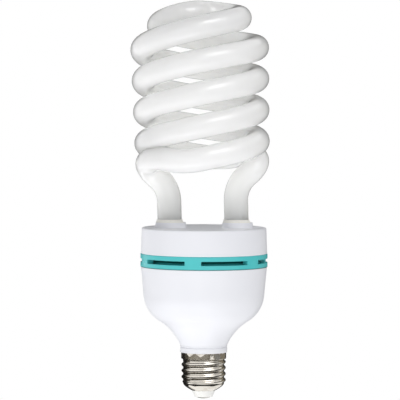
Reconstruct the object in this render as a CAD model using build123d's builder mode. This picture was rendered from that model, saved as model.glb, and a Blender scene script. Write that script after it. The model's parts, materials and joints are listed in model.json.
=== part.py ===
from build123d import *
import math
import os

# Spiral compact fluorescent lamp with an E27 screw cap.
# Millimetres. The origin is the tip of the centre contact, +Z runs up the cap's axis,
# and the two legs of the glass tube stand on the X axis.

# Screw cap
contact_diameter = 9.6
contact_dome = 1.1
stem_diameter = 3.2
stem_length = 6.0
insulator_tip_diameter = 10.7
insulator_top_diameter = 13.6
insulator_height = 3.7
insulator_edge = 0.5
flange_height = 2.0
shell_wall = 0.35
shell_cone_height = 4.2
thread_major_diameter = 26.2
thread_depth = 1.0
thread_pitch = 3.629
thread_ridges = 4
thread_crest = 1.2
thread_foot = 2.8
skirt_step = 0.2
skirt_height = 4.0
seat_gap = 0.1

# Lower housing
neck_step = 0.6
neck_height = 4.4
groove_depth = 0.4
groove_width = 0.8
groove_drop = 1.2
flare_angle = 66.0
bowl_wall = 2.0
side_draft = 1.6
shoulder_height = 29.0
rim_setback = 0.3
side_height = 17.1
spigot_length = 11.0
spigot_wall = 2.0
ledge_width = 2.4

# Vent ring
ring_diameter = 75.0
ring_height = 8.0
ring_edge = 0.3
lip_wall = 1.6
lip_length = 3.0
slot_count = 6
slot_angle = 45.0
slot_height = 2.4
first_slot_angle = 50.0

# Tube cap
cap_setback = 0.2
cap_draft = 0.5
cap_height = 15.2
cap_plate = 2.2
cap_edge = 1.0
collar_wall = 0.7
collar_height = 3.0
collar_flare = 0.6
sleeve_length = 4.0
cement_gap = 1.0
bead_height = 1.8
bead_wall = 0.4

# Glass tube
tube_od = 14.2
leg_spacing = 39.4
leg_shift = -0.5
leg_straight = 15.5
leg_end = 2.0
coil_diameter = 81.6
coil_flare = 0.3
coil_lift = 32.1
strand_gap = 4.1
elbow_turn = 0.085
elbow_setback = 0.6
elbow_lift = 6.0
elbow_slope = 19.0
coil_half_turns = 4.0
bridge_half_turns = 0.73
bridge_loop_diameter = 28.6
bridge_level = 0.14
bridge_tilt = 5.0
nodes_per_half_turn = 2
bridge_nodes = 5
short_step = 0.0001
quarter_turn = 0.5
lean_left = 1.6
tip_back = 1.05

# Ballast board and wires
board_thickness = 1.6
board_drop = 4.4
board_gap = 0.3
supply_wire_diameter = 1.4
shell_lead_gap = 0.95
shell_lead_bend = 2.0
filament_wire_diameter = 0.7
filament_spacing = 6.0
pin_side = 1.0
pin_height = 7.0

# Ballast parts, hung under the board
core_width = 25.0
core_height = 20.0
core_depth = 7.0
core_limb = 3.5
bobbin_wall = 0.8
bobbin_flange = 18.0
winding_inset = 1.0
choke_at = (-2.4, 11.4)
toroid_outer_diameter = 10.0
toroid_inner_diameter = 5.0
toroid_height = 5.0
toroid_loops = 9
toroid_wire = 0.8
toroid_at = (17.2, 14.4)
can_diameter = 16.0
can_length = 22.0
can_edge = 0.8
can_crimp = 0.6
can_crimp_drop = 3.0
can_at = (-1.0, -11.3)
film_edge = 0.8
resonant_size = (6, 15, 12)
resonant_at = (-19.3, -1.3)
blocking_size = (13, 5, 11)
blocking_at = (-16.3, -12.9)
filter_size = (13, 6, 10)
filter_at = (13.9, -16.7)
drum_diameter = 9.0
drum_length = 12.0
drum_flange = 1.5
drum_waist = 0.7
drum_at = (-20.1, 11.6)
package_size = (10, 4.5, 9)
tab_thickness = 1.3
tab_length = 6.5
tab_hole_diameter = 3.6
package_leg_width = 0.8
package_leg_length = 4.0
package_leg_pitch = 2.5
transistors_x = 13.1
transistors_y = (-7.9, 3.1)
diode_diameter = 2.8
diode_length = 5.4
diode_pitch = 4.2
diode_count = 4
diodes_at = (0.2, -24.1)
resistor_diameter = 4.0
resistor_length = 11.0
resistor_at = (-25.5, 0.9)
axial_leg = 0.8
axial_drop = 1.0
disc_diameter = 8.0
disc_thickness = 4.0
disc_leg_length = 3.0
disc_at = (-10.4, -2.1)

# Heights that follow from the stack
shell_foot_z = contact_dome + insulator_height
thread_foot_z = shell_foot_z + shell_cone_height
skirt_foot_z = thread_foot_z + thread_ridges * thread_pitch
neck_z = skirt_foot_z + skirt_height
flare_z = neck_z + neck_height
shoulder_z = flare_z + shoulder_height
rim_z = shoulder_z + side_height
ring_top_z = rim_z + ring_height
plate_top_z = ring_top_z + cap_height
plate_bottom_z = plate_top_z - cap_plate
collar_top_z = plate_top_z + collar_height
sleeve_z = plate_bottom_z - sleeve_length
leg_end_z = sleeve_z - leg_end
board_top_z = rim_z - board_drop
board_z = board_top_z - board_thickness

# The cap's diameters step out from its thread, and the housing's draw in from the vent ring
thread_minor_diameter = thread_major_diameter - 2 * thread_depth
skirt_diameter = thread_major_diameter + 2 * skirt_step
neck_diameter = skirt_diameter + 2 * neck_step
rim_diameter = ring_diameter - 2 * rim_setback
shoulder_diameter = rim_diameter - 2 * side_draft
cap_bottom_diameter = ring_diameter - 2 * cap_setback
cap_top_diameter = cap_bottom_diameter - 2 * cap_draft

# Radii shared by pieces that fit each other
shell_hole = insulator_top_diameter / 2 + seat_gap
shell_minor_inner = thread_minor_diameter / 2 - shell_wall
shell_skirt_inner = skirt_diameter / 2 - shell_wall
spigot_radius = shell_minor_inner - seat_gap
shell_lead_x = spigot_radius - spigot_wall - shell_lead_gap - supply_wire_diameter / 2
rim_inner = rim_diameter / 2 - bowl_wall
cavity_radius = min(rim_inner - ledge_width, shoulder_diameter / 2 - bowl_wall)
lip_outer = rim_inner - seat_gap
collar_bore = tube_od / 2 + cement_gap
coil_radius = (coil_diameter - tube_od) / 2
strand_rise = tube_od + strand_gap

# Counted in half turns, each strand draws in from the coil and then loops round to the axis
loop_start = coil_half_turns + bridge_half_turns
strand_end = loop_start + quarter_turn

# The glass leans a little to the left, and each turn tips back further than the one below it
left_turn = math.radians(lean_left)
tip_slope = math.tan(math.radians(tip_back))
tube_frame = Plane(
    origin=(0, 0, plate_top_z),
    x_dir=(math.cos(left_turn), 0, math.sin(left_turn)),
    z_dir=(-math.sin(left_turn), 0, math.cos(left_turn)),
)
leg_sides = {"left": -1, "right": 1}

os.makedirs("parts", exist_ok=True)


def biarc_joint(start, start_way, end, end_way):
    """Point and direction where the two tangent arcs of a bend meet."""
    span = end - start
    ways = start_way + end_way
    turn = 1 - start_way.dot(end_way)
    along = span.dot(ways)
    reach = (math.sqrt(along**2 + 2 * turn * span.dot(span)) - along) / (2 * turn)
    first = start + start_way * reach
    last = end - end_way * reach
    return (first + last) * 0.5, (last - first).normalized()


def smooth_bend(start, start_way, end, end_way):
    """Two tangent arcs from one point and direction to another."""
    joint, joint_way = biarc_joint(start, start_way, end, end_way)
    TangentArc(start, joint, tangent=start_way)
    TangentArc(joint, end, tangent=joint_way)


def radial_plane(origin, angle):
    """Upright plane through a point, with its first axis turned to an angle about Z."""
    turn = math.radians(angle)
    return Plane(
        origin, x_dir=(math.cos(turn), math.sin(turn), 0), z_dir=(math.sin(turn), -math.cos(turn), 0)
    )


def axis_point(plane, level):
    """Where a plane's normal through its origin crosses a level."""
    climb = (level - plane.origin.Z) / plane.z_dir.Z
    return plane.origin.X + climb * plane.z_dir.X, plane.origin.Y + climb * plane.z_dir.Y


def finish(builder, name):
    """Label a finished piece and write its STEP file."""
    builder.part.label = name
    export_step(builder.part, f"parts/{name}.step")


# Centre contact: a domed button with a rivet stem through the insulator
with BuildPart() as centre_contact:
    with BuildSketch(Plane.XZ):
        dome_radius = (contact_dome**2 + (contact_diameter / 2) ** 2) / (2 * contact_dome)
        with BuildLine():
            dome = RadiusArc((0, 0), (contact_diameter / 2, contact_dome), -dome_radius)
            Polyline(dome @ 1, (0, contact_dome), dome @ 0)
        make_face()
    revolve(axis=Axis.Z)
    with BuildSketch(Plane.XY.offset(contact_dome)):
        Circle(stem_diameter / 2)
    extrude(amount=stem_length)
finish(centre_contact, "centre_contact")

# Insulator: the cone that shows under the shell, and the flange that the shell's cone closes on
cone_slope = shell_cone_height / (thread_minor_diameter / 2 - shell_hole)
flange_gap = shell_wall * math.hypot(1, cone_slope) + seat_gap
flange_rise = (spigot_radius - insulator_top_diameter / 2) * cone_slope
flange_seat_z = shell_foot_z + flange_gap
flange_edge_z = flange_seat_z + flange_rise
stem_bore = stem_diameter / 2 + seat_gap
with BuildPart() as cap_insulator:
    with BuildSketch(Plane.XZ):
        with BuildLine():
            foot = RadiusArc(
                (insulator_tip_diameter / 2 - insulator_edge, contact_dome),
                (insulator_tip_diameter / 2, contact_dome + insulator_edge),
                -insulator_edge,
            )
            Polyline(
                foot @ 1,
                (insulator_top_diameter / 2, shell_foot_z),
                (insulator_top_diameter / 2, flange_seat_z),
                (spigot_radius, flange_edge_z),
                (spigot_radius, flange_edge_z + flange_height),
                (stem_bore, flange_edge_z + flange_height),
                (stem_bore, contact_dome),
                foot @ 0,
            )
        make_face()
    revolve(axis=Axis.Z)
finish(cap_insulator, "cap_insulator")

# Screw shell: thin metal with ridges at the thread's pitch and a plain skirt above them
shell_outline = [(shell_hole, shell_foot_z), (thread_minor_diameter / 2, thread_foot_z)]
for ridge in range(thread_ridges):
    ridge_z = thread_foot_z + (ridge + 0.5) * thread_pitch
    shell_outline += [
        (thread_minor_diameter / 2, ridge_z - thread_foot / 2),
        (thread_major_diameter / 2, ridge_z - thread_crest / 2),
        (thread_major_diameter / 2, ridge_z + thread_crest / 2),
        (thread_minor_diameter / 2, ridge_z + thread_foot / 2),
    ]
shell_outline += [
    (thread_minor_diameter / 2, skirt_foot_z),
    (skirt_diameter / 2, skirt_foot_z),
    (skirt_diameter / 2, neck_z),
    (shell_skirt_inner, neck_z),
    (shell_skirt_inner, skirt_foot_z + shell_wall),
    (shell_minor_inner, skirt_foot_z + shell_wall),
    (shell_minor_inner, flange_edge_z - seat_gap),
    (shell_hole, flange_seat_z - seat_gap),
]
with BuildPart() as screw_shell:
    with BuildSketch(Plane.XZ):
        with BuildLine():
            Polyline(*shell_outline, close=True)
        make_face()
    revolve(axis=Axis.Z)
finish(screw_shell, "screw_shell")

# Lower housing: a bowl that flares out of the neck, with the spigot that the shell is staked to
flare_start = Vector(neck_diameter / 2, flare_z)
flare_way = Vector(1, 0).rotate(Axis.Z, flare_angle)
shoulder = Vector(shoulder_diameter / 2, shoulder_z)
rim = Vector(rim_diameter / 2, rim_z)
groove_z = flare_z - groove_drop
with BuildPart() as lower_housing:
    with BuildSketch(Plane.XZ):
        with BuildLine():
            smooth_bend(flare_start, flare_way, shoulder, (rim - shoulder).normalized())
            Polyline(
                shoulder,
                rim,
                (rim_inner, rim_z),
                (rim_inner, board_z),
                (cavity_radius, board_z),
                (cavity_radius, shoulder_z),
                (spigot_radius - spigot_wall, flare_z),
                (spigot_radius - spigot_wall, neck_z - spigot_length),
                (spigot_radius, neck_z - spigot_length),
                (spigot_radius, skirt_foot_z + shell_wall + seat_gap),
                (shell_skirt_inner - seat_gap, skirt_foot_z + shell_wall + seat_gap),
                (shell_skirt_inner - seat_gap, neck_z),
                (neck_diameter / 2, neck_z),
                (neck_diameter / 2, groove_z - groove_width / 2),
                (neck_diameter / 2 - groove_depth, groove_z),
                (neck_diameter / 2, groove_z + groove_width / 2),
                flare_start,
            )
        make_face()
    revolve(axis=Axis.Z)
finish(lower_housing, "lower_housing")

# Vent ring: a band between the two housings, with a lip into each and slots right through
slot_z = (rim_z + ring_top_z) / 2
with BuildPart() as vent_ring:
    with BuildSketch(Plane.XZ):
        with BuildLine():
            Polyline(
                (lip_outer - lip_wall, rim_z - lip_length),
                (lip_outer, rim_z - lip_length),
                (lip_outer, rim_z),
                (ring_diameter / 2 - ring_edge, rim_z),
                (ring_diameter / 2, rim_z + ring_edge),
                (ring_diameter / 2, ring_top_z - ring_edge),
                (ring_diameter / 2 - ring_edge, ring_top_z),
                (lip_outer, ring_top_z),
                (lip_outer, ring_top_z + lip_length),
                (lip_outer - lip_wall, ring_top_z + lip_length),
                close=True,
            )
        make_face()
    revolve(axis=Axis.Z)
    for slot in range(slot_count):
        slot_start = first_slot_angle - slot_angle / 2 + slot * 360 / slot_count
        with BuildSketch(radial_plane((0, 0, 0), slot_start)):
            with Locations((ring_diameter / 2, slot_z)):
                Rectangle(ring_diameter / 2, slot_height)
        revolve(axis=Axis.Z, revolution_arc=slot_angle, mode=Mode.SUBTRACT)
finish(vent_ring, "vent_ring")

# Tube cap: the upper housing, with a collar and an inner sleeve for each leg
with BuildPart() as tube_cap:
    with BuildSketch(Plane.XZ):
        with BuildLine():
            side = Polyline(
                (0, plate_bottom_z),
                (rim_inner, plate_bottom_z),
                (rim_inner, ring_top_z),
                (cap_bottom_diameter / 2, ring_top_z),
                (cap_top_diameter / 2, plate_top_z - cap_edge),
            )
            edge = RadiusArc(side @ 1, (cap_top_diameter / 2 - cap_edge, plate_top_z), -cap_edge)
            Polyline(edge @ 1, (0, plate_top_z), side @ 0)
        make_face()
    revolve(axis=Axis.Z)
    with BuildSketch(Plane.XY.offset(plate_top_z)):
        with GridLocations(leg_spacing, 0, 2, 1):
            Circle(collar_bore + collar_wall + collar_flare)
    extrude(amount=collar_height, taper=math.degrees(math.atan(collar_flare / collar_height)))
    with BuildSketch(Plane.XY.offset(plate_bottom_z)):
        with GridLocations(leg_spacing, 0, 2, 1):
            Circle(collar_bore + collar_wall)
    extrude(amount=-sleeve_length)
    with BuildSketch(Plane.XY.offset(sleeve_z)):
        with GridLocations(leg_spacing, 0, 2, 1):
            Circle(collar_bore)
    extrude(amount=collar_top_z - sleeve_z, mode=Mode.SUBTRACT)
finish(tube_cap, "tube_cap")


def coil_point(half_turns, side):
    """Centre line of one strand, counted in half turns from its leg's side of the lamp."""
    angle = math.radians(180 * half_turns + 90 - 90 * side)
    radius = coil_radius - coil_flare * max(coil_half_turns - half_turns, 0)
    climb = half_turns
    tilt = 0
    if half_turns > coil_half_turns:
        share = min((half_turns - coil_half_turns) / bridge_half_turns, 1)
        draw_in = (1 - math.cos(math.pi * share)) / 2
        radius += (bridge_loop_diameter - coil_radius) * draw_in
        way_up = (half_turns - coil_half_turns) / (strand_end - coil_half_turns)
        tilt = side * bridge_tilt * way_up**2 * (1 - way_up)
    if half_turns > loop_start:
        radius = bridge_loop_diameter * math.cos(math.pi * (half_turns - loop_start))
    if half_turns > strand_end - bridge_level:
        past = half_turns - strand_end + bridge_level
        climb -= past**2 / (2 * bridge_level)
    depth = radius * math.sin(angle)
    height = coil_lift + strand_rise * climb - tilt - tip_slope * half_turns * depth
    return Vector(radius * math.cos(angle), depth, height)


def coil_way(half_turns, side):
    """Direction of a strand's centre line, going up."""
    behind = coil_point(half_turns - short_step, side)
    ahead = coil_point(half_turns + short_step, side)
    return (ahead - behind).normalized()


def strand_nodes(side):
    """Points and directions along one strand, from its leg's end to the top of the lamp."""
    leg_x = side * leg_spacing / 2 + leg_shift
    elbow_angle = 180 * elbow_turn + 90 - 90 * side
    elbow_place = Vector(coil_radius - elbow_setback, 0, coil_lift + strand_rise * elbow_turn + elbow_lift)
    elbow_way = Vector(0, 1, 0).rotate(Axis.X, elbow_slope)
    nodes = [
        (Vector(leg_x, 0, leg_end_z - plate_top_z), Vector(0, 0, 1)),
        (Vector(leg_x, 0, leg_straight), Vector(0, 0, 1)),
        (elbow_place.rotate(Axis.Z, elbow_angle), elbow_way.rotate(Axis.Z, elbow_angle)),
    ]
    coil_steps = round(coil_half_turns * nodes_per_half_turn)
    places = [coil_half_turns * step / coil_steps for step in range(1, coil_steps + 1)]
    for step in range(1, bridge_nodes + 1):
        places.append(coil_half_turns + (strand_end - coil_half_turns) * step / bridge_nodes)
    nodes += [(coil_point(place, side), coil_way(place, side)) for place in places]
    return [
        (tube_frame.from_local_coords(point), tube_frame.from_local_coords(way) - tube_frame.origin)
        for point, way in nodes
    ]


# Discharge tube: one sealed glass tube, up one leg, round the double helix and down the other leg
strands = {name: strand_nodes(side) for name, side in leg_sides.items()}
descent = [(point, way * -1) for point, way in reversed(strands["right"][:-1])]
tube_nodes = strands["left"] + descent
with BuildPart() as discharge_tube:
    with BuildLine() as tube_path:
        Line(tube_nodes[0][0], tube_nodes[1][0])
        for (start, start_way), (end, end_way) in zip(tube_nodes[1:-2], tube_nodes[2:-1]):
            smooth_bend(start, start_way, end, end_way)
        Line(tube_nodes[-2][0], tube_nodes[-1][0])
    with BuildSketch(Plane(tube_nodes[0][0], z_dir=tube_nodes[0][1])):
        Circle(tube_od / 2)
    sweep(path=tube_path.line)
finish(discharge_tube, "discharge_tube")

# Cement: fills each collar and sleeve round the leg that stands in it, with a bead on top
leg_length = leg_straight + plate_top_z - leg_end_z
leg_planes = {
    name: Plane(nodes[0][0], x_dir=tube_frame.x_dir, z_dir=tube_frame.z_dir)
    for name, nodes in strands.items()
}
bead_rings = {
    collar_top_z: collar_bore,
    collar_top_z + bead_height: tube_od / 2 + bead_wall,
}
for name, side in leg_sides.items():
    with BuildPart() as leg_cement:
        with BuildSketch(Plane.XY.offset(sleeve_z)):
            with Locations((side * leg_spacing / 2, 0)):
                Circle(collar_bore)
        extrude(amount=collar_top_z - sleeve_z)
        for level, radius in bead_rings.items():
            with BuildSketch(Plane.XY.offset(level)):
                with Locations(axis_point(leg_planes[name], level)):
                    Circle(radius)
        loft()
        with BuildSketch(leg_planes[name]):
            Circle(tube_od / 2)
        extrude(amount=leg_length, mode=Mode.SUBTRACT)
    finish(leg_cement, f"{name}_leg_cement")

# Circuit board: a disc that rests on the bowl's ledge
with BuildPart() as circuit_board:
    with BuildSketch(Plane.XY.offset(board_z)):
        Circle(rim_inner - board_gap)
    extrude(amount=board_thickness)
finish(circuit_board, "circuit_board")

# Filament leads: two straight wires from each leg's end down to the board
with BuildPart() as filament_leads:
    for plane in leg_planes.values():
        with BuildSketch(plane):
            with GridLocations(filament_spacing, 0, 2, 1):
                Circle(filament_wire_diameter / 2)
        extrude(amount=board_z - leg_end_z)
    split(bisect_by=Plane.XY.offset(board_top_z), keep=Keep.TOP)
finish(filament_leads, "filament_leads")

# Wrap pins: a square post on the board beside each filament lead
pin_reach = (pin_side + filament_wire_diameter) / 2 + seat_gap
with BuildPart() as wrap_pins:
    for plane in leg_planes.values():
        lead_x, lead_y = axis_point(plane, board_top_z + pin_height)
        with BuildSketch(Plane.XY.offset(board_top_z)):
            with Locations((lead_x, lead_y + pin_reach)):
                with GridLocations(filament_spacing, 0, 2, 1):
                    Rectangle(pin_side, pin_side)
        extrude(amount=pin_height)
finish(wrap_pins, "wrap_pins")

# Contact lead: straight down the axis to the contact's stem
with BuildPart() as contact_lead:
    with BuildSketch(Plane.XY.offset(contact_dome + stem_length)):
        Circle(supply_wire_diameter / 2)
    extrude(amount=board_z - contact_dome - stem_length)
finish(contact_lead, "contact_lead")

# Shell lead: down inside the spigot and out under its end to the shell
shell_lead_z = (flange_edge_z + flange_height + neck_z - spigot_length) / 2
with BuildPart() as shell_lead:
    with BuildLine() as shell_lead_path:
        FilletPolyline(
            (shell_lead_x, 0, board_z),
            (shell_lead_x, 0, shell_lead_z),
            (spigot_radius, 0, shell_lead_z),
            radius=shell_lead_bend,
        )
    with BuildSketch(Plane.XY.offset(board_z)):
        with Locations((shell_lead_x, 0)):
            Circle(supply_wire_diameter / 2)
    sweep(path=shell_lead_path.line)
finish(shell_lead, "shell_lead")

# Choke core: two E-shaped ferrites as one block with two windows
choke_z = board_z - core_height / 2
window_width = core_width / 2 - 2 * core_limb
window_height = core_height - 2 * core_limb
with BuildPart() as choke_core:
    with BuildSketch(Plane.XZ.offset(-choke_at[1])):
        with Locations((choke_at[0], choke_z)):
            Rectangle(core_width, core_height)
            with GridLocations(window_width + 2 * core_limb, 0, 2, 1):
                Rectangle(window_width, window_height, mode=Mode.SUBTRACT)
    extrude(amount=core_depth / 2, both=True)
finish(choke_core, "choke_core")

# Choke bobbin: a square sleeve on the middle limb with a flange at each end
bobbin_height = window_height - 2 * seat_gap
bore_width = 2 * (core_limb + seat_gap)
bore_depth = core_depth + 2 * seat_gap
flange_width = core_width - 2 * core_limb - 2 * seat_gap
bobbin_plane = Plane(origin=(*choke_at, choke_z - bobbin_height / 2))
with BuildPart() as choke_bobbin:
    with BuildSketch(bobbin_plane):
        Rectangle(bore_width + 2 * bobbin_wall, bore_depth + 2 * bobbin_wall)
    extrude(amount=bobbin_height)
    with BuildSketch(bobbin_plane, bobbin_plane.offset(bobbin_height - bobbin_wall)):
        Rectangle(flange_width, bobbin_flange)
    extrude(amount=bobbin_wall)
    with BuildSketch(bobbin_plane):
        Rectangle(bore_width, bore_depth)
    extrude(amount=bobbin_height, mode=Mode.SUBTRACT)
finish(choke_bobbin, "choke_bobbin")

# Choke winding: the wound copper between the flanges
with BuildPart() as choke_winding:
    with BuildSketch(bobbin_plane.offset(bobbin_wall)):
        RectangleRounded(
            flange_width - 2 * winding_inset, bobbin_flange - 2 * winding_inset, winding_inset
        )
        Rectangle(bore_width + 2 * bobbin_wall, bore_depth + 2 * bobbin_wall, mode=Mode.SUBTRACT)
    extrude(amount=bobbin_height - 2 * bobbin_wall)
finish(choke_winding, "choke_winding")

# Drive transformer: a ferrite ring and the wire loops that hold it to the board
loop_height = toroid_height + 2 * (toroid_wire + seat_gap)
toroid_z = board_z - loop_height / 2
with BuildPart() as toroid_core:
    with BuildSketch(Plane(origin=(*toroid_at, toroid_z))):
        Circle(toroid_outer_diameter / 2)
        Circle(toroid_inner_diameter / 2, mode=Mode.SUBTRACT)
    extrude(amount=toroid_height / 2, both=True)
finish(toroid_core, "toroid_core")

limb_width = (toroid_outer_diameter - toroid_inner_diameter) / 2
limb_middle = (toroid_outer_diameter + toroid_inner_diameter) / 4
with BuildPart() as toroid_winding:
    for loop in range(toroid_loops):
        with BuildSketch(radial_plane((*toroid_at, toroid_z), loop * 360 / toroid_loops)):
            with Locations((limb_middle, 0)):
                Rectangle(limb_width + 2 * (toroid_wire + seat_gap), loop_height)
                Rectangle(limb_width + 2 * seat_gap, toroid_height + 2 * seat_gap, mode=Mode.SUBTRACT)
        extrude(amount=toroid_wire / 2, both=True)
finish(toroid_winding, "toroid_winding")

# Bulk capacitor: an aluminium can with a crimp near its sealed end
with BuildPart() as bulk_capacitor:
    with BuildSketch(Plane.XZ.offset(-can_at[1])):
        with BuildLine():
            Polyline(
                (can_at[0], board_z),
                (can_at[0] + can_diameter / 2, board_z),
                (can_at[0] + can_diameter / 2, board_z - can_crimp_drop + can_crimp),
                (can_at[0] + can_diameter / 2 - can_crimp, board_z - can_crimp_drop),
                (can_at[0] + can_diameter / 2, board_z - can_crimp_drop - can_crimp),
                (can_at[0] + can_diameter / 2, board_z - can_length + can_edge),
                (can_at[0] + can_diameter / 2 - can_edge, board_z - can_length),
                (can_at[0], board_z - can_length),
                close=True,
            )
        make_face()
    revolve(axis=Axis((*can_at, 0), (0, 0, 1)))
finish(bulk_capacitor, "bulk_capacitor")

# Film capacitors: dipped blocks with broken edges
film_capacitors = {
    "resonant_capacitor": (resonant_size, resonant_at),
    "blocking_capacitor": (blocking_size, blocking_at),
    "filter_capacitor": (filter_size, filter_at),
}
for name, (size, place) in film_capacitors.items():
    with BuildPart() as film_capacitor:
        with BuildSketch(Plane(origin=(*place, board_z))):
            Rectangle(size[0], size[1])
        extrude(amount=-size[2])
        chamfer(film_capacitor.edges().filter_by(Axis.Z), length=film_edge)
    finish(film_capacitor, name)

# Filter choke: a wound drum that stands on end
with BuildPart() as filter_choke:
    with BuildSketch(Plane(origin=(*drum_at, board_z))):
        Circle(drum_diameter / 2)
    extrude(amount=-drum_length)
    with BuildSketch(Plane(origin=(*drum_at, board_z - drum_flange))):
        Circle(drum_diameter / 2)
        Circle(drum_diameter / 2 - drum_waist, mode=Mode.SUBTRACT)
    extrude(amount=2 * drum_flange - drum_length, mode=Mode.SUBTRACT)
finish(filter_choke, "filter_choke")

# Transistors: a moulded body with a bolt-hole tab and three legs in the board
package_width, package_depth, package_height = package_size
for name, place_y in zip(("lower_transistor", "upper_transistor"), transistors_y):
    package_z = board_z - package_leg_length
    with BuildPart() as transistor:
        with BuildSketch(Plane(origin=(transistors_x, place_y, package_z))):
            Rectangle(package_depth, package_width)
        extrude(amount=-package_height)
        with BuildSketch(radial_plane((transistors_x + package_depth / 2, place_y, package_z), 90)):
            with Locations((0, -package_height - tab_length / 2)):
                Rectangle(package_width, tab_length)
                Circle(tab_hole_diameter / 2, mode=Mode.SUBTRACT)
        extrude(amount=-tab_thickness)
        with BuildSketch(Plane(origin=(transistors_x, place_y, package_z))):
            with GridLocations(0, package_leg_pitch, 1, 3):
                Rectangle(package_leg_width, package_leg_width)
        extrude(amount=package_leg_length)
    finish(transistor, name)

# Axial parts: bodies that lie along Y under the board, with a leg up to it at each end
diode_places = [
    (diodes_at[0] + (diode - (diode_count - 1) / 2) * diode_pitch, diodes_at[1])
    for diode in range(diode_count)
]
axial_parts = {
    "rectifier_diodes": (diode_places, diode_diameter, diode_length),
    "fusible_resistor": ([resistor_at], resistor_diameter, resistor_length),
}
for name, (places, diameter, length) in axial_parts.items():
    body_z = board_z - axial_drop - diameter / 2
    with BuildPart() as axial_part:
        with BuildSketch(*[Plane((*place, body_z), z_dir=(0, 1, 0)) for place in places]):
            Circle(diameter / 2)
        extrude(amount=length / 2, both=True)
        with BuildSketch(*[Plane((*place, body_z - axial_leg / 2)) for place in places]):
            with GridLocations(0, length + axial_leg, 1, 2):
                Rectangle(axial_leg, axial_leg)
        extrude(amount=board_z - body_z + axial_leg / 2)
    finish(axial_part, name)

# Thermistor: a disc on edge with two legs
with BuildPart() as ptc_thermistor:
    disc_z = board_z - disc_leg_length - disc_diameter / 2
    with BuildSketch(Plane(origin=(*disc_at, disc_z), z_dir=(0, 1, 0))):
        Circle(disc_diameter / 2)
    extrude(amount=disc_thickness / 2, both=True)
    with BuildSketch(Plane(origin=(*disc_at, disc_z))):
        with GridLocations(disc_diameter / 2, 0, 2, 1):
            Rectangle(axial_leg, axial_leg)
    extrude(amount=board_z - disc_z)
finish(ptc_thermistor, "ptc_thermistor")
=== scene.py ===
import json
import math
import bpy
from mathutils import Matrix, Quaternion, Vector


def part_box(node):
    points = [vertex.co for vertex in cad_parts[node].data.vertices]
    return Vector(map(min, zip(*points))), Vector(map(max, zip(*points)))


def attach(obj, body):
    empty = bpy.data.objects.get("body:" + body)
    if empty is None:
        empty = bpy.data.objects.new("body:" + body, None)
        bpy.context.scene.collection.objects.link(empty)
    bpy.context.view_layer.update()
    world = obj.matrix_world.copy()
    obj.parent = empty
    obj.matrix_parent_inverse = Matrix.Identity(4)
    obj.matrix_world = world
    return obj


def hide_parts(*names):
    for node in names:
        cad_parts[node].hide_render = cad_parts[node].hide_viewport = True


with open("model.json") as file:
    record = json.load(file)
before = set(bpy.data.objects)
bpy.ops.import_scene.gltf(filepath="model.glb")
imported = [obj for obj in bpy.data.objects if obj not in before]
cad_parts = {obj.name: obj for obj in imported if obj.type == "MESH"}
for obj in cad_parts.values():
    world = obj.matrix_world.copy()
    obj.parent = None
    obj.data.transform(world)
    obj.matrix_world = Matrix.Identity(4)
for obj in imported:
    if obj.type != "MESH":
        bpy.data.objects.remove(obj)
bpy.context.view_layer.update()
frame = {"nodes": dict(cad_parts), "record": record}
nodes = frame["nodes"]
mm = 0.001
print("frame loaded,", len(nodes), "nodes")


def linear(hexColour):  # sRGB hex to the linear values that Blender mixes
    parts = [int(hexColour[i:i + 2], 16) / 255 for i in (1, 3, 5)]
    return tuple(p / 12.92 if p <= 0.04045 else ((p + 0.055) / 1.055) ** 2.4 for p in parts) + (1.0,)


def perMm(sizeMm):  # texture scale that gives features of a real size
    return 1 / (sizeMm * mm)


def setInputs(tree, node, inputs):  # plain values and links, by the name or the number of the socket
    for socket, value in inputs.items():
        if isinstance(value, bpy.types.NodeSocket):
            tree.links.new(value, node.inputs[socket])
        else:
            node.inputs[socket].default_value = value


def addNode(tree, kind, settings=None, inputs=None):  # one node with its settings, values and links
    node = tree.nodes.new(kind)
    for name, value in (settings or {}).items():
        setattr(node, name, value)
    setInputs(tree, node, inputs or {})
    return node


def startMaterial(name):  # a fresh material, its tree, its shader and the part's own coordinates
    material = bpy.data.materials.new(name)
    material.use_nodes = True
    tree = material.node_tree
    shader = tree.nodes["Principled BSDF"]
    place = addNode(tree, "ShaderNodeTexCoord").outputs["Object"]
    return material, tree, shader, place


def seenRays(tree):  # 1 for what is seen, mirrored or through glass too, and 0 for what only lights
    rays = addNode(tree, "ShaderNodeLightPath").outputs
    seen = addNode(tree, "ShaderNodeMath", {"operation": "MAXIMUM"}, {
        0: rays["Is Camera Ray"], 1: rays["Is Glossy Ray"]})
    seenThrough = addNode(tree, "ShaderNodeMath", {"operation": "MAXIMUM"}, {
        0: seen.outputs[0], 1: rays["Is Transmission Ray"]})
    return seenThrough.outputs[0]


def addMesh(name, verts, faces, material, smooth=True):
    mesh = bpy.data.meshes.new(name)
    mesh.from_pydata(verts, [], faces)
    mesh.polygons.foreach_set("use_smooth", [smooth] * len(faces))
    mesh.materials.append(material)
    mesh.update()
    piece = bpy.data.objects.new(name, mesh)
    bpy.context.scene.collection.objects.link(piece)
    return piece


def ringFaces(ringCount, steps):  # four-sided faces from each ring to the next, and the last to the first
    faces = []
    for ring in range(ringCount):
        this, after = ring * steps, (ring + 1) % ringCount * steps
        for step in range(steps):
            beside = (step + 1) % steps
            faces.append((this + step, this + beside, after + beside, after + step))
    return faces


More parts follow.
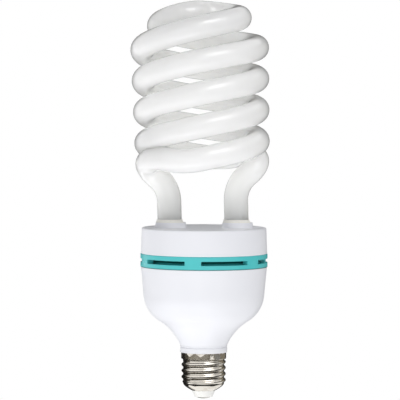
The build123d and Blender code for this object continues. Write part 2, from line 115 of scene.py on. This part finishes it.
# Tube: soda-lime glass, drawn and bent, over a sprayed phosphor coat.
# Clear glass gives sharp streaks and dark rims. The coat under it is a soft white that lets light through,
# with painted shade at the bridge's tight bend.
tubeLook = {
    "coat": "#FEFEFC", "uneven": "#FBFBF8", "thin": "#C0C1C1", "bendShade": "#B4B5B5",
    "mottleMm": 9.0, "mottleFrom": 0.45, "mottleTo": 0.75, "mottleShare": 0.5,
    "legFadeMm": 38.0, "bendShadePlace": (-0.032, 0.014, 0.228), "bendShadeReachMm": 28.0,
    "roughness": 0.45, "ior": 1.5, "glassRoughness": 0.04, "glassIor": 1.52,
    "glowTint": (1.0, 1.0, 0.95), "glowMm": 42.0,
}
glassMaterial, tree, shader, place = startMaterial("phosphor coated glass, drawn")
mottle = addNode(tree, "ShaderNodeTexNoise", {}, {
    "Vector": place, "Scale": perMm(tubeLook["mottleMm"]), "Detail": 3.0, "Roughness": 0.55})
patchy = addNode(tree, "ShaderNodeMapRange", {}, {
    "Value": mottle.outputs["Fac"], "From Min": tubeLook["mottleFrom"], "From Max": tubeLook["mottleTo"],
    "To Max": tubeLook["mottleShare"]})
coat = addNode(tree, "ShaderNodeMix", {"data_type": "RGBA"}, {
    "Factor": patchy.outputs["Result"], "A": linear(tubeLook["coat"]), "B": linear(tubeLook["uneven"])})
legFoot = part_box("left_leg_cement")[1].z  # the coat thins towards the electrodes in the legs
height = addNode(tree, "ShaderNodeSeparateXYZ", {}, {"Vector": place}).outputs["Z"]
legThin = addNode(tree, "ShaderNodeMapRange", {"interpolation_type": "SMOOTHSTEP"}, {
    "Value": height, "From Min": legFoot, "From Max": legFoot + tubeLook["legFadeMm"] * mm,
    "To Min": 1.0, "To Max": 0.0})
# Painted shade: a grey spot at the bridge's left bend stands in for the shade under the strand below it.
apart = addNode(tree, "ShaderNodeVectorMath", {"operation": "SUBTRACT"}, {0: place, 1: tubeLook["bendShadePlace"]})
reach = addNode(tree, "ShaderNodeVectorMath", {"operation": "LENGTH"}, {"Vector": apart.outputs["Vector"]})
bendShadeMask = addNode(tree, "ShaderNodeMapRange", {"interpolation_type": "SMOOTHSTEP"}, {
    "Value": reach.outputs["Value"], "From Max": tubeLook["bendShadeReachMm"] * mm,
    "To Min": 1.0, "To Max": 0.0})  # painted shade: the coat is drawn grey at the bridge's tight bend
legs = addNode(tree, "ShaderNodeMix", {"data_type": "RGBA"}, {
    "Factor": legThin.outputs["Result"], "A": coat.outputs["Result"], "B": linear(tubeLook["thin"])})
coatWithBendShade = addNode(tree, "ShaderNodeMix", {"data_type": "RGBA"}, {
    "Factor": bendShadeMask.outputs["Result"], "A": legs.outputs["Result"], "B": linear(tubeLook["bendShade"])})
setInputs(tree, shader, {
    "Base Color": coatWithBendShade.outputs["Result"], "Roughness": tubeLook["roughness"], "IOR": tubeLook["ior"],
    "Coat Weight": 1.0, "Coat Roughness": tubeLook["glassRoughness"], "Coat IOR": tubeLook["glassIor"],
    "Subsurface Weight": 1.0, "Subsurface Radius": tubeLook["glowTint"],
    "Subsurface Scale": tubeLook["glowMm"] * mm})

# Housing: PBT, injection moulded against a spark-eroded tool, so a fine even grain and a broad sheen.
# The real grain is about 0.1 mm. It is drawn coarser, and even so it shows only from close by.
housingLook = {
    "white": "#F0F1F6", "shade": "#E9EAF0", "flowMm": 30.0, "grainMm": 0.35, "grainStrength": 0.12,
    "grainDepthMm": 0.02, "edgeMm": 0.3, "roughness": 0.42, "ior": 1.5,
}
housingMaterial, tree, shader, place = startMaterial("white PBT, moulded")
flow = addNode(tree, "ShaderNodeTexNoise", {}, {
    "Vector": place, "Scale": perMm(housingLook["flowMm"]), "Detail": 2.0})
white = addNode(tree, "ShaderNodeMix", {"data_type": "RGBA"}, {
    "Factor": flow.outputs["Fac"], "A": linear(housingLook["white"]), "B": linear(housingLook["shade"])})
grain = addNode(tree, "ShaderNodeTexNoise", {}, {
    "Vector": place, "Scale": perMm(housingLook["grainMm"]), "Detail": 2.0})
softEdge = addNode(tree, "ShaderNodeBevel", {"samples": 4}, {"Radius": housingLook["edgeMm"] * mm})
bump = addNode(tree, "ShaderNodeBump", {}, {
    "Height": grain.outputs["Fac"], "Strength": housingLook["grainStrength"],
    "Distance": housingLook["grainDepthMm"] * mm, "Normal": softEdge.outputs["Normal"]})
setInputs(tree, shader, {
    "Base Color": white.outputs["Result"], "Roughness": housingLook["roughness"], "IOR": housingLook["ior"],
    "Normal": bump.outputs["Normal"]})

# Vent ring: PBT dyed teal, moulded against a polished tool, glossier than the housing.
ventLook = {
    "teal": "#57CDCE", "deep": "#4BC1C5", "seamShadow": "#0C5556", "flowMm": 8.0, "seamShadowMm": 0.8, "edgeMm": 0.25,
    "roughness": 0.3, "ior": 1.5,
}
ventMaterial, tree, shader, place = startMaterial("teal PBT, moulded")
flow = addNode(tree, "ShaderNodeTexNoise", {}, {
    "Vector": place, "Scale": perMm(ventLook["flowMm"]), "Detail": 3.0})
teal = addNode(tree, "ShaderNodeMix", {"data_type": "RGBA"}, {
    "Factor": flow.outputs["Fac"], "A": linear(ventLook["teal"]), "B": linear(ventLook["deep"])})
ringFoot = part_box("lower_housing")[1].z  # painted shadow: the gap under the ring is drawn as a dark line
height = addNode(tree, "ShaderNodeSeparateXYZ", {}, {"Vector": place}).outputs["Z"]
seamShadow = addNode(tree, "ShaderNodeMapRange", {"interpolation_type": "SMOOTHSTEP"}, {
    "Value": height, "From Min": ringFoot, "From Max": ringFoot + ventLook["seamShadowMm"] * mm,
    "To Min": 1.0, "To Max": 0.0})
tealWithSeamShadow = addNode(tree, "ShaderNodeMix", {"data_type": "RGBA"}, {
    "Factor": seamShadow.outputs["Result"], "A": teal.outputs["Result"], "B": linear(ventLook["seamShadow"])})
softEdge = addNode(tree, "ShaderNodeBevel", {"samples": 4}, {"Radius": ventLook["edgeMm"] * mm})
setInputs(tree, shader, {
    "Base Color": tealWithSeamShadow.outputs["Result"], "Roughness": ventLook["roughness"], "IOR": ventLook["ior"],
    "Normal": softEdge.outputs["Normal"]})

# Vent baffle: the ring's teal PBT painted darker as shade, and dull, where the slots show it.
baffleShadeLook = {"teal": "#0B625F", "deep": "#085250", "grainMm": 0.6, "roughness": 0.95, "specular": 0.1}
baffleShadeMaterial, tree, shader, place = startMaterial("teal PBT, painted shade")
grain = addNode(tree, "ShaderNodeTexNoise", {}, {
    "Vector": place, "Scale": perMm(baffleShadeLook["grainMm"]), "Detail": 3.0})
teal = addNode(tree, "ShaderNodeMix", {"data_type": "RGBA"}, {
    "Factor": grain.outputs["Fac"], "A": linear(baffleShadeLook["teal"]), "B": linear(baffleShadeLook["deep"])})
setInputs(tree, shader, {
    "Base Color": teal.outputs["Result"], "Roughness": baffleShadeLook["roughness"],
    "Specular IOR Level": baffleShadeLook["specular"]})

# Cap shell: brass, rolled and nickel plated, a warm bright mirror with fine lines round it and dull patches.
# The real lines are finer, and are drawn 0.5 mm wide so that they show.
capLook = {
    "nickel": "#EAE5DC", "tarnish": "#B8AFA0", "patchMm": 4.0,
    "wornFrom": 0.5, "wornTo": 0.8, "wornShare": 0.6,
    "dullFrom": 0.3, "dullTo": 0.8, "brightest": 0.11, "dullest": 0.22,
    "lineMm": 0.5, "lineStretch": 0.1, "lineStrength": 0.15, "lineDepthMm": 0.02,
}
nickelMaterial, tree, shader, place = startMaterial("nickel plated brass, rolled")
patches = addNode(tree, "ShaderNodeTexNoise", {}, {
    "Vector": place, "Scale": perMm(capLook["patchMm"]), "Detail": 4.0})
worn = addNode(tree, "ShaderNodeMapRange", {}, {
    "Value": patches.outputs["Fac"], "From Min": capLook["wornFrom"], "From Max": capLook["wornTo"],
    "To Max": capLook["wornShare"]})
metal = addNode(tree, "ShaderNodeMix", {"data_type": "RGBA"}, {
    "Factor": worn.outputs["Result"], "A": linear(capLook["nickel"]), "B": linear(capLook["tarnish"])})
dulling = addNode(tree, "ShaderNodeMapRange", {}, {
    "Value": patches.outputs["Fac"], "From Min": capLook["dullFrom"], "From Max": capLook["dullTo"],
    "To Min": capLook["brightest"], "To Max": capLook["dullest"]})
stretch = addNode(tree, "ShaderNodeMapping", {}, {
    "Vector": place, "Scale": (capLook["lineStretch"], capLook["lineStretch"], 1.0)})
lines = addNode(tree, "ShaderNodeTexNoise", {}, {
    "Vector": stretch.outputs["Vector"], "Scale": perMm(capLook["lineMm"]), "Detail": 2.0})
bump = addNode(tree, "ShaderNodeBump", {}, {
    "Height": lines.outputs["Fac"], "Strength": capLook["lineStrength"],
    "Distance": capLook["lineDepthMm"] * mm})
setInputs(tree, shader, {
    "Base Color": metal.outputs["Result"], "Metallic": 1.0, "Roughness": dulling.outputs["Result"],
    "Normal": bump.outputs["Normal"]})

# Centre contact: brass button, pressed and tinned, softer and greyer than the shell.
contactLook = {
    "tin": "#C9C6BF", "rub": "#B59B62", "patchMm": 2.0, "rubFrom": 0.55, "rubTo": 0.75, "rubShare": 0.5,
    "roughness": 0.32,
}
contactMaterial, tree, shader, place = startMaterial("tinned brass, pressed")
patches = addNode(tree, "ShaderNodeTexNoise", {}, {
    "Vector": place, "Scale": perMm(contactLook["patchMm"]), "Detail": 3.0})
rubbed = addNode(tree, "ShaderNodeMapRange", {}, {
    "Value": patches.outputs["Fac"], "From Min": contactLook["rubFrom"], "From Max": contactLook["rubTo"],
    "To Max": contactLook["rubShare"]})
metal = addNode(tree, "ShaderNodeMix", {"data_type": "RGBA"}, {
    "Factor": rubbed.outputs["Result"], "A": linear(contactLook["tin"]), "B": linear(contactLook["rub"])})
setInputs(tree, shader, {
    "Base Color": metal.outputs["Result"], "Metallic": 1.0, "Roughness": contactLook["roughness"]})

# Insulator: steatite, pressed and glazed, a clean white with a wet gloss.
insulatorLook = {
    "glaze": "#FAFAF8", "body": "#F1F0EC", "speckMm": 1.2, "roughness": 0.35, "ior": 1.5,
    "glazeWeight": 0.4, "glazeRoughness": 0.08,
}
insulatorMaterial, tree, shader, place = startMaterial("steatite, glazed")
specks = addNode(tree, "ShaderNodeTexNoise", {}, {
    "Vector": place, "Scale": perMm(insulatorLook["speckMm"]), "Detail": 3.0})
glaze = addNode(tree, "ShaderNodeMix", {"data_type": "RGBA"}, {
    "Factor": specks.outputs["Fac"], "A": linear(insulatorLook["glaze"]), "B": linear(insulatorLook["body"])})
setInputs(tree, shader, {
    "Base Color": glaze.outputs["Result"], "Roughness": insulatorLook["roughness"],
    "IOR": insulatorLook["ior"], "Coat Weight": insulatorLook["glazeWeight"],
    "Coat Roughness": insulatorLook["glazeRoughness"]})

# Cement: gypsum capping cement, poured, off-white and matt with small pits.
cementLook = {
    "cream": "#F8F7F2", "pitted": "#EAE8E1", "pitMm": 0.8, "pitStrength": 0.5, "pitDepthMm": 0.2,
    "roughness": 0.8,
}
cementMaterial, tree, shader, place = startMaterial("capping cement, poured")
pits = addNode(tree, "ShaderNodeTexNoise", {}, {
    "Vector": place, "Scale": perMm(cementLook["pitMm"]), "Detail": 4.0})
cream = addNode(tree, "ShaderNodeMix", {"data_type": "RGBA"}, {
    "Factor": pits.outputs["Fac"], "A": linear(cementLook["cream"]), "B": linear(cementLook["pitted"])})
bump = addNode(tree, "ShaderNodeBump", {}, {
    "Height": pits.outputs["Fac"], "Strength": cementLook["pitStrength"],
    "Distance": cementLook["pitDepthMm"] * mm})
setInputs(tree, shader, {
    "Base Color": cream.outputs["Result"], "Roughness": cementLook["roughness"],
    "Normal": bump.outputs["Normal"]})

# Ballast, hidden under the vent ring: each finish is two tones in patches of a real size, with some relief.
# Each row is the material, its tone, its dark tone, the patches in mm, roughness and metallic.
ballastLooks = {
    "board": ("phenolic paper, pressed", "#A8803F", "#8F6A30", 1.5, 0.55, 0.0),
    "lead_wire": ("tinned copper wire, drawn", "#C8C8C4", "#A9A8A2", 1.0, 0.3, 1.0),
    "wire_sleeve": ("silicone rubber, extruded", "#DEDCD3", "#CFCCC0", 2.0, 0.6, 0.0),
    "ferrite": ("ferrite, sintered", "#2E2E31", "#232326", 0.6, 0.7, 0.0),
    "bobbin": ("black nylon, moulded", "#26262A", "#1D1D20", 0.8, 0.5, 0.0),
    "copper": ("enamelled copper wire, wound", "#B8622E", "#96481D", 0.5, 0.25, 1.0),
    "can_sleeve": ("dark PVC sleeve, shrunk", "#1E2438", "#171B2B", 3.0, 0.3, 0.0),
    "film": ("red epoxy, dipped", "#8E3A22", "#742C18", 2.0, 0.25, 0.0),
    "package": ("black epoxy, moulded", "#2A2A2B", "#202021", 0.4, 0.6, 0.0),
    "resistor": ("grey-green lacquer, dipped", "#8CA39B", "#788F87", 1.0, 0.45, 0.0),
    "thermistor": ("brown epoxy, dipped", "#6B4326", "#57341B", 1.0, 0.4, 0.0),
}
ballastRelief = {"strength": 0.3, "depthMm": 0.05}
slotMaterials = {
    "tube_glass": glassMaterial, "housing": housingMaterial, "vent": ventMaterial,
    "cap_metal": nickelMaterial, "contact_metal": contactMaterial, "cement": cementMaterial,
    "insulator": insulatorMaterial,
}
for slot, (name, tone, dark, patchMm, roughness, metallic) in ballastLooks.items():
    slotMaterials[slot], tree, shader, place = startMaterial(name)
    patches = addNode(tree, "ShaderNodeTexNoise", {}, {
        "Vector": place, "Scale": perMm(patchMm), "Detail": 3.0})
    tones = addNode(tree, "ShaderNodeMix", {"data_type": "RGBA"}, {
        "Factor": patches.outputs["Fac"], "A": linear(tone), "B": linear(dark)})
    bump = addNode(tree, "ShaderNodeBump", {}, {
        "Height": patches.outputs["Fac"], "Strength": ballastRelief["strength"],
        "Distance": ballastRelief["depthMm"] * mm})
    setInputs(tree, shader, {
        "Base Color": tones.outputs["Result"], "Roughness": roughness, "Metallic": metallic,
        "Normal": bump.outputs["Normal"]})
slotOf = {part["node"]: part["material_slot"] for part in frame["record"]["subparts"]}
for name, node in nodes.items():
    node.data.materials.clear()
    node.data.materials.append(slotMaterials[slotOf[name]])
print("materials set")

# Screw shell: the rolled right-hand thread and the skirt, with the punch marks and crimps that hold it to
# the housing. Lengths are in mm, and stakeTurn is in degrees.
shell = {
    "pitch": 3.629, "depth": 1.0, "wall": 0.35, "holeRadius": 6.9, "threadFoot": 4.2, "skirtHeight": 4.0,
    "rootStep": 1.2, "footRound": 1.6, "crestAt": 9.85, "fade": 1.6, "stepHeight": 0.8,
    "stakes": 12, "stakeTurn": 292.0, "deepEvery": 3, "stakeSoft": 0.4,
    "stakeDepth": 0.55, "stakeHeight": 3.0, "stakeWidth": 3.0, "stakeFoot": 0.5,
    "crimpDepth": 0.35, "crimpHeight": 1.9, "crimpWidth": 4.4,
    "roundSteps": 240, "levelStep": 0.18,
}
low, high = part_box("screw_shell")
foot, top, skirtRadius = low.z / mm, high.z / mm, high.x / mm
rootRadius = skirtRadius - shell["rootStep"]
threadFoot = foot + shell["threadFoot"]
skirtFoot = top - shell["skirtHeight"]
# crest and root are equal arcs of this radius, each half a pitch wide and half the depth high
threadArc = (shell["pitch"] ** 2 / 16 + shell["depth"] ** 2 / 4) / shell["depth"]


def ease(value):  # smooth step from 0 to 1
    value = min(max(value, 0.0), 1.0)
    return value * value * (3 - 2 * value)


def threadRise(turn, level):  # how far the thread stands over its root
    away = (level - foot - shell["crestAt"]) / shell["pitch"] - turn / 360
    away = abs(away - math.floor(away + 0.5)) * shell["pitch"]
    if away < shell["pitch"] / 4:
        rise = shell["depth"] - threadArc + math.sqrt(threadArc ** 2 - away ** 2)
    else:
        rise = threadArc - math.sqrt(threadArc ** 2 - (shell["pitch"] / 2 - away) ** 2)
    return rise * ease((level - threadFoot) / shell["fade"]) * ease((skirtFoot - level) / shell["fade"])


def stakeDent(turn, level):  # punch marks with the point up, and between them crimps that hang from the edge
    share = (turn - shell["stakeTurn"]) * shell["stakes"] / 360
    stake = math.floor(share + 0.5)
    across = math.radians(abs(share - stake) * 360 / shell["stakes"]) * skirtRadius
    if stake % shell["deepEvery"]:
        up = 1 - (top - level) / shell["crimpHeight"]
        depth, reach = shell["crimpDepth"], shell["crimpWidth"] / 2 * up
    else:
        up = (level - skirtFoot - shell["stakeFoot"]) / shell["stakeHeight"]
        depth, reach = shell["stakeDepth"], shell["stakeWidth"] / 2 * (1 - up)
    if not 0 <= up <= 1:
        return 0.0
    return depth * up * ease((reach - across) / shell["stakeSoft"] + 0.5)


def shellRadius(turn, level):  # the rounded foot, then the thread, then the step to the skirt
    if level < threadFoot:
        share = 1 - (1 - (level - foot) / (threadFoot - foot)) ** shell["footRound"]
        return shell["holeRadius"] + (rootRadius - shell["holeRadius"]) * share
    step = ease((level - skirtFoot + shell["stepHeight"] / 2) / shell["stepHeight"])
    return rootRadius + (skirtRadius - rootRadius) * step + threadRise(turn, level) - stakeDent(turn, level)


levelCount = round((top - foot) / shell["levelStep"])
levels = [foot + (top - foot) * i / levelCount for i in range(levelCount + 1)]
rings = [(level, 0.0) for level in levels] + [(level, shell["wall"]) for level in reversed(levels)]
steps = shell["roundSteps"]
verts = []
for level, inset in rings:
    for step in range(steps):
        turn = 360 * step / steps
        radius = (shellRadius(turn, level) - inset) * mm
        angle = math.radians(turn)
        verts.append((radius * math.cos(angle), radius * math.sin(angle), level * mm))
faces = ringFaces(len(rings), steps)
screwShell = addMesh("rolled_screw_shell", verts, faces, nickelMaterial)
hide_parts("screw_shell")
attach(screwShell, "root")
print("screw shell made,", len(faces), "faces")

# Vent baffle: the ring's inner wall, which keeps fingers off the ballast, painted dark teal as shade in the
# slots, with a sloped sill along their foot in the ring's own teal that catches the light. Lengths are in mm.
baffle = {
    "inset": 6.0, "wall": 0.8, "edge": 0.5, "slotHeight": 2.4,
    "sillReach": 1.8, "sillDrop": 0.2, "sillRise": 0.8, "sillDepth": 1.0, "roundSteps": 128,
}
low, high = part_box("vent_ring")
outer = high.x - baffle["inset"] * mm
inner = outer - baffle["wall"] * mm
sill = outer + baffle["sillReach"] * mm
lowest, highest = low.z + baffle["edge"] * mm, high.z - baffle["edge"] * mm
slotFoot = (low.z + high.z) / 2 - baffle["slotHeight"] / 2 * mm
sillFoot = slotFoot - baffle["sillDepth"] * mm
profile = (
    (outer, lowest), (outer, sillFoot), (sill, sillFoot), (sill, slotFoot - baffle["sillDrop"] * mm),
    (outer, slotFoot + baffle["sillRise"] * mm), (outer, highest), (inner, highest), (inner, lowest),
)
slopeFrom = 3  # the profile's point where the sill's slope starts
steps = baffle["roundSteps"]
verts = []
for radius, level in profile:
    for step in range(steps):
        angle = 2 * math.pi * step / steps
        verts.append((radius * math.cos(angle), radius * math.sin(angle), level))
faces = ringFaces(len(profile), steps)
ventBaffle = addMesh("vent_baffle", verts, faces, baffleShadeMaterial, smooth=False)
ventBaffle.data.materials.append(ventMaterial)
for face in ventBaffle.data.polygons[slopeFrom * steps:(slopeFrom + 1) * steps]:  # as bright as the ring
    face.material_index = 1
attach(ventBaffle, "root")
print("vent baffle made")

# Studio: white surroundings that are dimmer at the upper left, a pale floor well under the lamp,
# boards that show in its gloss, and soft lamps. Lengths are in metres.
studio = {
    "surround": 1.05, "dimmest": 0.12, "dimSide": (-0.5, 0.0, 0.866), "dimFrom": 0.0, "dimTo": 0.9,
    "floorDrop": 0.40, "floorSize": 6.0, "floorLift": 0.46,
}
scene = bpy.context.scene
scene.view_settings.view_transform = "Standard"
world = bpy.data.worlds.new("white studio")
scene.world = world
world.use_nodes = True
tree = world.node_tree
way = addNode(tree, "ShaderNodeTexCoord").outputs["Generated"]
toDim = addNode(tree, "ShaderNodeVectorMath", {"operation": "DOT_PRODUCT"}, {0: way, 1: studio["dimSide"]})
dimmed = addNode(tree, "ShaderNodeMapRange", {"interpolation_type": "SMOOTHSTEP"}, {
    "Value": toDim.outputs["Value"], "From Min": studio["dimFrom"], "From Max": studio["dimTo"],
    "To Min": studio["surround"], "To Max": studio["dimmest"]})
strength = addNode(tree, "ShaderNodeMix", {"data_type": "FLOAT"}, {
    "Factor": seenRays(tree), "A": dimmed.outputs["Result"], "B": 1.0})  # plain white where it is seen
setInputs(tree, tree.nodes["Background"], {"Color": (1, 1, 1, 1), "Strength": strength.outputs["Result"]})

# Floor: paper, matt, a pale sheet with a faint fibre.
floorLook = {"paper": "#F6F6F6", "fibre": "#F2F2F2", "fibreMm": 3.0, "roughness": 0.9}
floorMaterial, tree, shader, place = startMaterial("pale paper, matt")
fibre = addNode(tree, "ShaderNodeTexNoise", {}, {
    "Vector": place, "Scale": perMm(floorLook["fibreMm"]), "Detail": 3.0})
paper = addNode(tree, "ShaderNodeMix", {"data_type": "RGBA"}, {
    "Factor": fibre.outputs["Fac"], "A": linear(floorLook["paper"]), "B": linear(floorLook["fibre"])})
lift = addNode(tree, "ShaderNodeMath", {"operation": "MULTIPLY"}, {
    0: seenRays(tree), 1: studio["floorLift"]})  # pale to the eye, no light on the lamp
setInputs(tree, shader, {
    "Base Color": paper.outputs["Result"], "Roughness": floorLook["roughness"],
    "Emission Color": (1, 1, 1, 1), "Emission Strength": lift.outputs[0]})
half = studio["floorSize"] / 2
corners = [(x * half, y * half, -studio["floorDrop"]) for x, y in ((-1, -1), (1, -1), (1, 1), (-1, 1))]
floor = addMesh("floor", corners, [(0, 1, 2, 3)], floorMaterial)
floor.visible_diffuse = False  # light from under the lamp comes past the paper

# Boards round the lamp: azimuth 0 faces the camera and 90 the right, in metres from the cap's axis
cards = {
    "frontBand": {"radius": 1.2, "azimuth": (-95, 20), "rise": (-0.20, 0.00), "paint": "#7C766A"},
    "sideBand": {"radius": 1.2, "azimuth": (20, 95), "rise": (-0.20, 0.02), "paint": "#6E685C"},
    "rightBack": {"radius": 0.8, "azimuth": (95, 142), "rise": (-0.30, 0.60), "paint": "#868073"},
    "rimBoard": {"radius": 0.8, "azimuth": (142, 218), "rise": (-0.40, 0.65), "paint": "#302E2B"},
    "capBand": {"radius": 0.08, "azimuth": (-95, 95), "rise": (-0.16, 0.002), "paint": "#1E1C18"},
    "capFlag": {"radius": 0.08, "azimuth": (178, 257), "rise": (-0.06, 0.068), "paint": "#121110"},
    "capShade": {"radius": 0.08, "azimuth": (257, 282), "rise": (-0.06, 0.05), "paint": "#4E4A42"},
    "rightWall": {"radius": 1.1, "azimuth": (60, 125), "rise": (-0.20, 0.70), "paint": "#909090"},
}
shadingCard = "rightWall"  # the other boards show in the gloss alone
cardLook = {"brushMm": 40.0, "darkest": 0.9, "palest": 1.1, "roughness": 0.9, "arcSteps": 24}
arcSteps = cardLook["arcSteps"]
for name, card in cards.items():
    cardMaterial, tree, shader, place = startMaterial(name + " card, painted")
    brushing = addNode(tree, "ShaderNodeTexNoise", {}, {
        "Vector": place, "Scale": perMm(cardLook["brushMm"]), "Detail": 2.0})
    shade = addNode(tree, "ShaderNodeMapRange", {}, {
        "Value": brushing.outputs["Fac"], "To Min": cardLook["darkest"], "To Max": cardLook["palest"]})
    paint = addNode(tree, "ShaderNodeHueSaturation", {}, {
        "Color": linear(card["paint"]), "Value": shade.outputs["Result"]})
    setInputs(tree, shader, {"Base Color": paint.outputs["Color"], "Roughness": cardLook["roughness"]})
    verts = []
    first, last = card["azimuth"]
    for step in range(arcSteps + 1):
        turn = math.radians(first + (last - first) * step / arcSteps)
        for level in card["rise"]:
            verts.append((card["radius"] * math.sin(turn), -card["radius"] * math.cos(turn), level))
    faces = [(2 * i, 2 * i + 2, 2 * i + 3, 2 * i + 1) for i in range(arcSteps)]
    board = addMesh(name, verts, faces, cardMaterial)
    board.visible_camera = False
    board.visible_diffuse = board.visible_shadow = name == shadingCard

# Soft lamps, in metres and watts
lamps = {
    "bounce": {"place": (-0.18, -0.45, -0.39), "aim": (-0.18, -0.45, 0.0), "size": (0.7, 0.2), "watts": 0.65},
    "key": {"place": (-0.85, -0.30, -0.36), "aim": (0.0, 0.0, 0.12), "size": (0.7, 0.7), "watts": 3.9},
    "back": {"place": (-0.6, 0.9, 0.10), "aim": (0.0, 0.0, 0.18), "size": (0.8, 0.4), "watts": 4.6},
    "fill": {"place": (0.47, -0.97, 1.25), "aim": (0.0, 0.0, 0.12), "size": (0.7, 0.7), "watts": 4.3},
    "streak": {"place": (0.60, -1.00, 1.10), "aim": (0.0, 0.0, 0.12), "size": (1.3, 0.8), "watts": 4.4},
}
shownLamps = ("bounce", "fill", "streak")  # those that the glass mirrors
glossLamp = "streak"  # a soft box that shows in the gloss alone
for name, lamp in lamps.items():
    data = bpy.data.lights.new(name, "AREA")
    data.shape = "RECTANGLE"
    data.size, data.size_y = lamp["size"]
    data.energy = lamp["watts"]
    light = bpy.data.objects.new(name, data)
    light.location = lamp["place"]
    light.rotation_euler = (Vector(lamp["aim"]) - light.location).to_track_quat("-Z", "Y").to_euler()
    light.visible_glossy = name in shownLamps
    light.visible_diffuse = name != glossLamp
    scene.collection.objects.link(light)
print("studio set")

# Camera: the photograph's place and angle, a little above the lamp's middle
view = {
    "place": (0.0, -1.876, 0.2027), "aim": (0.0, 0.0, 0.1174), "widthMm": 236.0, "roll": 0.2,
    "shiftPixels": -4.2, "imagePixels": 400,
}
cameraData = bpy.data.cameras.new("camera")
camera = bpy.data.objects.new("camera", cameraData)
camera.location = view["place"]
sight = Vector(view["aim"]) - camera.location
roll = Quaternion((0, 0, 1), math.radians(view["roll"]))
camera.rotation_mode = "QUATERNION"
camera.rotation_quaternion = sight.to_track_quat("-Z", "Y") @ roll
cameraData.angle = 2 * math.atan(view["widthMm"] * mm / 2 / sight.length)
cameraData.shift_x = view["shiftPixels"] / view["imagePixels"]
scene.collection.objects.link(camera)
scene.camera = camera
print("camera set")
